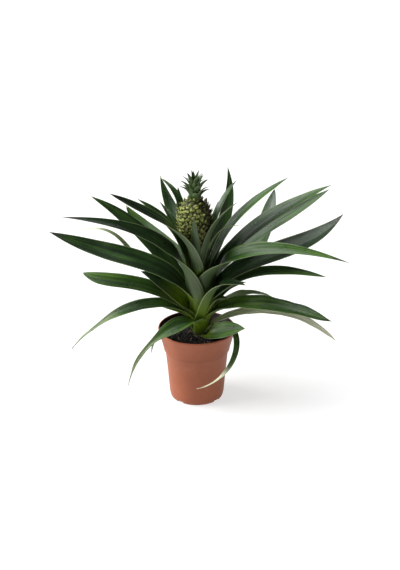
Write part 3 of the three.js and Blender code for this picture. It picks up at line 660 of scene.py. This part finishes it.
def build_stem(material):
    bm = bmesh.new()
    levels = [mix(STEM_FOOT.z, STEM_HEAD.z, k / STEM_LEVELS) for k in range(STEM_LEVELS + 1)]
    profile = [(0.0, levels[0])] + [(1.0, level) for level in levels] + [(0.0, levels[-1])]
    turned_shape(bm, profile, STEM_STEPS)
    for point in bm.verts:
        height = point.co.z
        radius = along_table(STEM_GIRTH, height) * Vector(point.co[:2]).length
        radius *= 1 + STEM_RIDGE * math.sin(height * 1.1)
        turn = math.atan2(point.co.y, point.co.x)
        centre = stem_axis(height)
        point.co = (centre.x + radius * math.cos(turn), centre.y + radius * math.sin(turn), height)
    return make_piece(bm, "stalk", material, ["stem"], flat_above=50)


# ---- leaves ----
class LeafLine:
    """Centre line of a leaf, measured off by its length."""

    def __init__(self, leaf):
        root = stem_axis(leaf["height"])
        root += direction(leaf["heading"], 0) * (along_table(STEM_GIRTH, leaf["height"]) - 1)
        tip = Vector(leaf["tip"])
        span = (tip - root).length
        chord = math.degrees(math.atan2(tip.y - root.y, tip.x - root.x))
        tip_heading = chord + leaf.get("turn", 0)
        self.handles = (
            root,
            root + direction(leaf["heading"], leaf["rise"]) * leaf.get("grip", 0.4) * span,
            tip - direction(tip_heading, -leaf["fall"]) * leaf.get("reach", 0.4) * span,
            tip,
        )
        self.heading = leaf["heading"]
        self.swing = (tip_heading - leaf["heading"] + 180) % 360 - 180
        self.lengths = [0.0]
        last = root
        for k in range(1, LINE_STEPS + 1):
            here = self.on_curve(k / LINE_STEPS)
            self.lengths.append(self.lengths[-1] + (here - last).length)
            last = here
        self.length = self.lengths[-1]

    def on_curve(self, u):
        a, b, c, d = self.handles
        v = 1 - u
        return a * v**3 + b * (3 * v * v * u) + c * (3 * v * u * u) + d * u**3

    def slope(self, u):
        a, b, c, d = self.handles
        v = 1 - u
        return ((b - a) * v * v + (c - b) * (2 * v * u) + (d - c) * u * u).normalized()

    def at(self, share):
        """Place and the blade's sideways and upward directions at a share of the length."""
        wanted = share * self.length
        k = 0
        while k < LINE_STEPS - 1 and self.lengths[k + 1] < wanted:
            k += 1
        step = self.lengths[k + 1] - self.lengths[k]
        u = (k + (wanted - self.lengths[k]) / step) / LINE_STEPS
        along = self.slope(clamp(u))
        turn = math.radians(self.heading + self.swing * share)
        side = Vector((-math.sin(turn), math.cos(turn), 0.0))
        side = (side - along * side.dot(along)).normalized()
        return self.on_curve(clamp(u)), side, along.cross(side)


def width_share(leaf, s):
    """Share of its full width that a blade has at a share of its length."""
    peak, base = leaf.get("peak", 0.42), leaf.get("base", 0.48)
    if s <= peak:
        share = base + (1 - base) * math.sin(math.pi / 2 * s / peak)
    else:
        share = 1 - ((s - peak) / (1 - peak)) ** leaf.get("taper", 2.2)
    if "neck" in leaf:
        place, left = leaf["neck"]
        share *= 1 - (1 - left) * smoothstep(s, place - 0.15, place + 0.15)
    return share


def lost_width(leaf, s):
    """How much narrower than at SLANT_FROM a blade is near its tip."""
    return leaf["width"] * (width_share(leaf, SLANT_FROM) - width_share(leaf, max(s, SLANT_FROM)))


def blade_look(name, chance):
    """Colours and folds of one blade: what most blades share, and its own values over that."""
    look = dict(COMMON_TONES, green=mix(*COMMON_GREEN, chance.random()))
    look.update(BLADE_TONES.get(name, {}))
    return look


def cross_section(leaf, look, s, t):
    """Sideways and upward place on a blade's section, between an arc and a V with a soft crease."""
    width = max(leaf["width"] * width_share(leaf, s) * mix(1.0, look["slim"], s), LEAST_WIDTH)
    arc = math.radians(ROOT_ARC * (1 - s) ** 2 + BLADE_ARC)
    radius = width / arc
    sideways = radius * math.sin(t * arc / 2) + look["oblique"] * lost_width(leaf, s) / 2
    rounded = radius * (1 - math.cos(t * arc / 2))
    folded = radius * (1 - math.cos(arc / 2)) * max(abs(t) * 1.05, 0.05)
    return sideways, mix(rounded, folded, look["fold"] * FOLD_MOST)


def ripple(wave, seed, s, t):
    """How far a blade waves up out of its plane, along its margins and as a whole."""
    margin = noise.noise(Vector((s * 9 + seed, t * 1.4, seed))) * wave * t * t
    return margin + noise.noise(Vector((s * 3.5, seed, t * 0.8))) * wave * 1.2 * clamp(s * 3)


def sheath_point(leaf, t, gone, outward):
    """A point of the part of a blade that clasps the stalk, at a length gone from its root."""
    height = leaf["height"] - SHEATH_DROP + gone * mix(0.55, 0.95, clamp(leaf["rise"] / 70))
    girth = along_table(STEM_GIRTH, clamp(height, STEM_FOOT.z, STEM_HEAD.z))
    radius = girth + SHEATH_GAP + SHEATH_FLARE * gone
    wrap = SHEATH_WRAP * clamp(leaf["width"] / WIDE_BLADE, 0.4, 1.0)
    return stem_axis(height) + direction(leaf["heading"] + wrap * t, 0) * (radius + outward)


def blade_colours(look, seed, s, t, gone, free, height):
    """Green, yellow and dry shares, and sage and dark shares, at a point of a blade; the dark share is the
    burnt tip plus painted shade on the foot by the soil.
    """
    green = look["green"] + look["far"] * s + 0.16 * noise.noise(Vector((s * 3, t, seed)))
    yellow = 1 - smoothstep(gone, YELLOW_FROM, YELLOW_FROM + YELLOW_LENGTH * look["yellow"])
    dry = look["dry"] + smoothstep(s, look["tip_dry"], mix(look["tip_dry"], 1.0, 0.6))
    sage = smoothstep(s, look["pale"], look["pale"] + 0.2) if "pale" in look else 0.0
    burnt = look["burnt"] * smoothstep(s, 0.88, 0.97)
    # painted shade: the clasping foot of a blade is darkened to near-black below these heights, standing in
    # for the shade down at the soil
    foot_shade = 0.92 * (1 - smoothstep(height, *FOOT_SHADE_HEIGHTS)) * (1 - free)
    return (green, yellow, dry), (sage, burnt + foot_shade)


def build_leaf(name, number, material):
    """One blade: a thin sheet bent along its centre line, clasping the stalk at its root."""
    leaf = LEAVES[name]
    line = LeafLine(leaf)
    look = blade_look(name, random.Random(number + 100))
    seed = number * 3.7
    rows = {}
    layers = ("blade_map", "blade_tone", "blade_seed")
    bm, (blade_map, blade_tone, blade_seed), points = new_sheet(layers, BLADE_ACROSS, BLADE_ALONG)
    for point, t, s, under in points:
        key = round(s * BLADE_ALONG)
        if key not in rows:
            rows[key] = line.at(s)
        centre, side, up = rows[key]
        roll = math.radians(leaf.get("roll", 0) * clamp((s - leaf.get("hold", 0)) / 0.25))
        across = side * math.cos(roll) + up * math.sin(roll)
        lift = up * math.cos(roll) - side * math.sin(roll)
        sideways, height = cross_section(leaf, look, s, t)
        gone = s * line.length
        free = smoothstep(gone, 0, SHEATH_LENGTH)
        height += ripple(look["wave"], seed, s, t) * free
        thick = mix(BLADE_MIDDLE, BLADE_EDGE, t * t) * clamp((1 - s) * 8 + 0.35, 0.0, 1.0) / 2
        on_blade = centre + across * sideways + lift * height
        on_blade += lift * (-thick if under else thick)
        clasped = sheath_point(leaf, t, gone, thick if under else -thick)
        point.co = clasped.lerp(on_blade, free)
        tones, marks = blade_colours(look, seed, s, t, gone, free, point.co.z)
        point[blade_map] = (t, s, under)
        point[blade_tone] = tones
        point[blade_seed] = (seed, *marks)
    return make_piece(bm, "blade_" + name, material, ["leaf_" + name])


# ---- fruit ----
def fruit_radius(share):
    """Radius of the fruit at a share of its height, narrowing to the stalk and to the crown."""
    bulge = 1 - abs(2 * clamp(share) - 0.96) ** 2.6
    return FRUIT_RADIUS * math.sqrt(max(bulge, 0.12)) * mix(0.80, 0.96, smoothstep(share, 0.06, 0.45))


def eye_places():
    """Height share and turn of each eye on the golden-angle spiral."""
    steps = 400
    area = [0.0]
    for k in range(steps):
        area.append(area[-1] + max(fruit_radius((k + 0.5) / steps), 9) ** 1.3)
    places = []
    for order in range(EYE_COUNT):
        wanted = area[-1] * clamp((order - EYE_ENDS) / (EYE_COUNT - 2 * EYE_ENDS - 1), 0.001, 0.999)
        k = next(i for i, total in enumerate(area) if total >= wanted)
        share = (k - 1 + (wanted - area[k - 1]) / (area[k] - area[k - 1])) / steps
        places.append((share, GOLDEN_ANGLE * order))
    return places


def on_fruit(share, turn, raised=0.0):
    """A place on the fruit, or raised above it, at a share of its height and a turn."""
    radius = fruit_radius(share) + raised
    around = math.radians(turn)
    return FRUIT_FOOT + Vector((radius * math.cos(around), radius * math.sin(around), share * FRUIT_HEIGHT))


def build_fruit(material):
    bm = bmesh.new()
    eye_map = bm.verts.layers.float_vector.new("eye_map")
    eye_painted_shade = bm.verts.layers.float_vector.new("eye_painted_shade")
    places = eye_places()
    eyes = kdtree.KDTree(len(places))
    chance = random.Random(5)
    chances = [chance.random() for _ in places]
    for order, (share, turn) in enumerate(places):
        strayed = share + EYE_SHIFT * (chance.random() - 0.5)
        eyes.insert(on_fruit(strayed, turn + EYE_TURN * (chance.random() - 0.5)), order)
    eyes.balance()
    bmesh.ops.create_uvsphere(bm, u_segments=FRUIT_STEPS, v_segments=FRUIT_ROWS, radius=1.0)
    for point in bm.verts:
        turn = math.degrees(math.atan2(point.co.y, point.co.x))
        row = (1 - math.acos(clamp(point.co.z, -1, 1)) / math.pi) * FRUIT_ROWS
        share = clamp((row - FRUIT_CAP_ROWS) / (FRUIT_ROWS - 2 * FRUIT_CAP_ROWS))
        inward = clamp(min(row, FRUIT_ROWS - row) / FRUIT_CAP_ROWS)
        flat = on_fruit(share, turn)
        (_, first, near), (_, _, far) = eyes.find_n(flat, 2)
        edge = clamp((far - near) / (far + near) * 2.4)
        dome = smoothstep(edge, 0.0, 0.6)
        middle = 1 - clamp(near / 4.0)
        lift = (EYE_RISE * (0.25 + 0.5 * chances[first])) * dome + 0.6 * middle
        lift += 0.9 * noise.noise(flat * 0.55) + 0.5 * noise.noise(flat * 1.3)
        lift *= inward
        centre = FRUIT_FOOT + Vector((0, 0, share * FRUIT_HEIGHT))
        out = Vector((flat.x - centre.x, flat.y - centre.y, 0.0))
        point.co = centre + out.normalized() * ((out.length + lift) * inward)
        point[eye_map] = (clamp(dome * 0.7 + middle * 0.4), edge, chances[first])
        point[eye_painted_shade] = (shaded_side(out), 0.0, 0.0)
    return make_piece(bm, "fruit_body", material, ["fruit"])


def shaded_side(out):
    """How much painted shade the fruit gets on the side towards which a level direction points, the side
    turned from the key lamp.
    """
    way = out.normalized()
    return smoothstep(way.x + 0.25 * way.y, 0.0, 0.8)


def add_small_blade(bm, foot, heading, rise, length, width, curl, mark, segments, steps, thick, brown=0.0):
    """A small pointed leaf, hollow across and curling outward along its length."""
    sheet, (blade_map, bract_brown_shade), points = new_sheet(("blade_map", "bract_brown_shade"), segments, steps)
    for point, t, s, under in points:
        along = direction(heading, rise - curl * s)
        reach = direction(heading, rise - curl * s / 2) * length * s
        turn = math.radians(heading)
        across = Vector((-math.sin(turn), math.cos(turn), 0.0))
        up = along.cross(across)
        half = max(width / 2 * (1 - s) * (1 + 0.7 * s), 0.12)
        hollow = 0.42 * half * t * t
        body = thick * (1 - 0.6 * t * t) * (1 - 0.5 * s) / 2
        point.co = foot + reach + across * half * t + up * (hollow + (-body if under else body))
        point[blade_map] = (t, s, mark)
        point[bract_brown_shade] = (brown, 0.0, 0.0)
    join(bm, sheet)


def build_bracts(material):
    bm = bmesh.new()
    chance = random.Random(8)
    for order, (share, turn) in enumerate(eye_places()):
        if not EYE_ENDS - 2 <= order < EYE_COUNT - EYE_ENDS + 4:
            continue
        out = direction(turn, 0)
        shade = shaded_side(out)
        # brown is partly withering and partly painted shade: it grows on the side turned from the key lamp
        brown = clamp(shade * 1.2 - 0.15 + 0.3 * (chance.random() - 0.5))
        foot = on_fruit(clamp(share - 0.04), turn, BRACT_RAISED)
        rise = mix(46, 68, share) + 20 * (chance.random() - 0.5)
        length = mix(*BRACT_LENGTHS, chance.random()) + 1.8 * shade * chance.random()
        curl = -30 + 44 * chance.random()
        heading = turn + 14 * (chance.random() - 0.5)
        width = mix(*BRACT_WIDTHS, chance.random())
        mark = chance.random()
        add_small_blade(bm, foot, heading, rise, length, width, curl, mark, 4, 5, BRACT_THICK, brown)
        foot = on_fruit(clamp(share + 0.012), turn, 1.4)
        heading = turn + 50 * (chance.random() - 0.5)
        rise = 40 + 30 * chance.random()
        length = mix(*FLORET_LENGTHS, chance.random())
        mark = chance.random()
        add_small_blade(bm, foot, heading, rise, length, FLORET_WIDTH, 20, mark, 3, 3, BRACT_THICK, brown)
    return make_piece(bm, "fruit_bracts", material)


# ---- crown ----
def build_crown(material):
    bm = bmesh.new()
    blade_map = bm.verts.layers.float_vector.new("blade_map")
    state = CROWN_SEED

    def draw():
        """The same run of numbers as the part's source draws for its own crown."""
        nonlocal state
        state = (state * 1664525 + 1013904223) % 2**32
        return state / 2**32

    middle = Matrix.Translation(CROWN_FOOT + Vector((0, 0, CROWN_CORE_HEIGHT / 2)))
    bmesh.ops.create_cone(bm, cap_ends=True, cap_tris=False, segments=40, radius1=CROWN_CORE_RADIUS,
                          radius2=CROWN_CORE_TOP, depth=CROWN_CORE_HEIGHT, matrix=middle)
    for point in bm.verts:
        point[blade_map] = (0.0, 0.1, 0.2)
    for k in range(CROWN_LEAFLETS):
        share = k / (CROWN_LEAFLETS - 1)
        heading = GOLDEN_ANGLE * k + 8 * draw()
        height = 0.5 + share * (CROWN_CORE_HEIGHT - 3)
        radius = mix(CROWN_CORE_RADIUS, 5.5, height / CROWN_CORE_HEIGHT) - LEAFLET_SUNK
        foot = CROWN_FOOT + direction(heading, 0) * radius + Vector((0, 0, height))
        rise = mix(*LEAFLET_RISES, share) + 8 * draw()
        length = LEAFLET_LENGTH + 3 * math.sin(math.pi * share) + 3 * draw()
        width = LEAFLET_WIDTH - 2.5 * share
        curl = LEAFLET_CURL * (1 - 0.35 * share) + 16 * draw() - 8
        mark = (k * 0.381) % 1
        add_small_blade(bm, foot, heading, rise, length, width, curl, mark, 10, 14, LEAFLET_THICK)
    return make_piece(bm, "crown_leaflets", material, ["crown"])


# ---- pot and soil ----
def build_pot(material):
    bm = bmesh.new()
    turned_shape(bm, POT_UNDERSIDE + POT_OUTSIDE + POT_INSIDE, POT_STEPS)
    pot = make_piece(bm, "nursery_pot", material, ["pot"])
    cutter = bmesh.new()
    for turn in DRAIN_TURNS:
        around = Matrix.Rotation(math.radians(turn), 4, "Z")
        slot = around @ Matrix.Translation((DRAIN_SLOT_PLACE, 0, 0)) @ Matrix.Diagonal((*DRAIN_SLOT, 1))
        bmesh.ops.create_cube(cutter, size=1.0, matrix=slot)
        hole = around @ Matrix.Translation((DRAIN_HOLE_CIRCLE, 0, 4))
        bmesh.ops.create_cone(cutter, cap_ends=True, cap_tris=False, segments=DRAIN_HOLE_STEPS,
                              radius1=DRAIN_HOLE_RADIUS, radius2=DRAIN_HOLE_RADIUS, depth=12, matrix=hole)
    cut_out(pot, cutter)
    pot.data.set_sharp_from_angle(angle=math.radians(POT_CREASE_ANGLE))
    return pot


def soil_lumps(x, y):
    lumps = 0.5 * math.sin(0.21 * x + 0.13 * y + 1) + 0.35 * math.sin(0.34 * y - 0.18 * x)
    return SOIL_LEVEL + SOIL_LUMP * lumps + 0.4 * math.sin(0.55 * x + 0.47 * y)


def soil_height(x, y):
    """Height of the crumbly top of the soil."""
    radius = math.hypot(x, y)
    smooth = soil_lumps(x, y)
    edge_radius, edge_level = SOIL_EDGE
    if radius > edge_radius:
        smooth = mix(smooth, edge_level, smoothstep(radius, edge_radius, SOIL_RADIUS))
    crumbs = noise.fractal(Vector((x * 0.22, y * 0.22, 4.0)), 1.0, 2.0, 4)
    fine = abs(noise.noise(Vector((x * 0.8, y * 0.8, 9.0))))
    return smooth + 1.1 * crumbs + 0.9 * fine - 0.2


def build_soil(material):
    bm = bmesh.new()
    rings = [SOIL_RADIUS - SOIL_RING_WIDTH * k for k in range(1, SOIL_RINGS + 1)]
    profile = SOIL_WALL + [(radius, SOIL_LEVEL) for radius in rings] + [(0.0, SOIL_LEVEL)]
    turned_shape(bm, profile, SOIL_STEPS)
    for point in bm.verts:
        if point.co.z > SOIL_TOP_FROM:
            point.co.z = soil_height(point.co.x, point.co.y)
    soil = make_piece(bm, "peat_soil", material, ["soil"], flat_above=60)
    cutter = bmesh.new()
    turned_shape(cutter, STEM_HOLE, STEM_STEPS)
    for point in cutter.verts:
        point.co.x += stem_axis(point.co.z).x
    bmesh.ops.recalc_face_normals(cutter, faces=cutter.faces)
    cut_out(soil, cutter)
    return soil


def scattered_place(chance, limit):
    """A random place on the soil, clear of the stem."""
    while True:
        radius = limit * math.sqrt(chance.random())
        turn = 2 * math.pi * chance.random()
        x, y = radius * math.cos(turn), radius * math.sin(turn)
        if math.hypot(x - stem_axis(SOIL_LEVEL).x, y) > CLEAR_OF_STEM:
            return x, y, turn


def build_crumbs(material):
    bm = bmesh.new()
    chance = random.Random(21)
    for _ in range(CRUMBS):
        x, y, turn = scattered_place(chance, CRUMB_REACH)
        size = mix(*CRUMB_SIZES, chance.random() ** 2.5)
        place = Matrix.Translation((x, y, soil_height(x, y) + size * 0.25))
        tumble = Matrix.Rotation(turn * 3, 4, "Z") @ Matrix.Rotation(chance.random() * 3, 4, "X")
        shape = Matrix.Diagonal((size * (0.8 + 0.9 * chance.random()), size, size * 0.7, 1))
        bmesh.ops.create_icosphere(bm, subdivisions=1, radius=1.0, matrix=place @ tumble @ shape)
    return make_piece(bm, "peat_crumbs", material)


def build_fibres(material):
    bm = bmesh.new()
    chance = random.Random(34)
    for _ in range(FIBRES):
        x, y, turn = scattered_place(chance, FIBRE_REACH)
        length = mix(*FIBRE_LENGTHS, chance.random() ** 2)
        tilt = math.pi / 2 + 0.35 * (chance.random() - 0.5)
        lean = Matrix.Rotation(turn * 5, 4, "Z") @ Matrix.Rotation(tilt, 4, "X")
        place = Matrix.Translation((x, y, soil_height(x, y) + 0.9)) @ lean
        thick_end = 0.35 + 0.3 * chance.random()
        bmesh.ops.create_cone(bm, cap_ends=True, cap_tris=False, segments=5, radius1=thick_end, radius2=0.12,
                              depth=length, matrix=place)
    return make_piece(bm, "peat_fibres", material)


# ---- assembly ----
leaf_material = leaf_finish()
build_pot(pot_finish())
build_soil(soil_finish("peat", (0.0012, 0.0009, 0.0008), (0.007, 0.005, 0.004)))
build_crumbs(soil_finish("peat_crumb", (0.0018, 0.0013, 0.0011), (0.016, 0.011, 0.008)))
build_fibres(fibre_finish())
build_stem(stem_finish())
for number, name in enumerate(LEAVES):
    build_leaf(name, number, leaf_material)
build_fruit(fruit_finish())
build_bracts(bract_finish())
build_crown(crown_finish())


# ---- floor, light and camera, in metres ----
FLOOR_HALF = 40.0
FLOOR_GREY = 0.40
FLOOR_GLOW = 0.66
LAMP_SOFTNESS = 50
AIR_GLOW = 0.12
CAMERA_LENS = 106.9
CAMERA_PLACE = (0.005, -2.3564, 1.2878)
CAMERA_AIM = (0.005, 0.0, 0.189)


def build_floor():
    bm = bmesh.new()
    bmesh.ops.create_grid(bm, x_segments=1, y_segments=1, size=FLOOR_HALF)
    mesh = bpy.data.meshes.new("studio_floor")
    bm.to_mesh(mesh)
    bm.free()
    floor = bpy.data.objects.new("studio_floor", mesh)
    bpy.context.scene.collection.objects.link(floor)
    paper = Finish("light_table", Roughness=0.9, Emission_Strength=FLOOR_GLOW)
    paper.shader.inputs["Base Color"].default_value = (FLOOR_GREY, FLOOR_GREY, FLOOR_GREY, 1.0)
    paper.shader.inputs["Emission Color"].default_value = (1.0, 1.0, 1.0, 1.0)
    mesh.materials.append(paper.material)


def add_light(name, toward, power):
    """A distant lamp; toward points from the plant to the lamp."""
    lamp = bpy.data.lights.new(name, "SUN")
    lamp.angle = math.radians(LAMP_SOFTNESS)
    lamp.energy = power
    light = bpy.data.objects.new(name, lamp)
    light.rotation_euler = Vector(toward).to_track_quat("Z", "Y").to_euler()
    bpy.context.scene.collection.objects.link(light)


build_floor()
add_light("key", (-1.0, 0.05, 0.48), 4.9)
add_light("top", (-0.3, 0.25, 1.0), 2.4)

world = bpy.data.worlds.new("studio")
world.use_nodes = True
world.node_tree.nodes["Background"].inputs[0].default_value = (1.0, 1.0, 1.0, 1.0)
world.node_tree.nodes["Background"].inputs[1].default_value = AIR_GLOW
bpy.context.scene.world = world

camera_data = bpy.data.cameras.new("camera")
camera_data.lens = CAMERA_LENS
camera_data.sensor_width = 36.0
camera = bpy.data.objects.new("camera", camera_data)
camera.location = CAMERA_PLACE
aim = Vector(CAMERA_AIM) - camera.location
camera.rotation_euler = aim.to_track_quat("-Z", "Y").to_euler()
bpy.context.scene.collection.objects.link(camera)
bpy.context.scene.camera = camera
bpy.context.scene.view_settings.view_transform = "Standard"
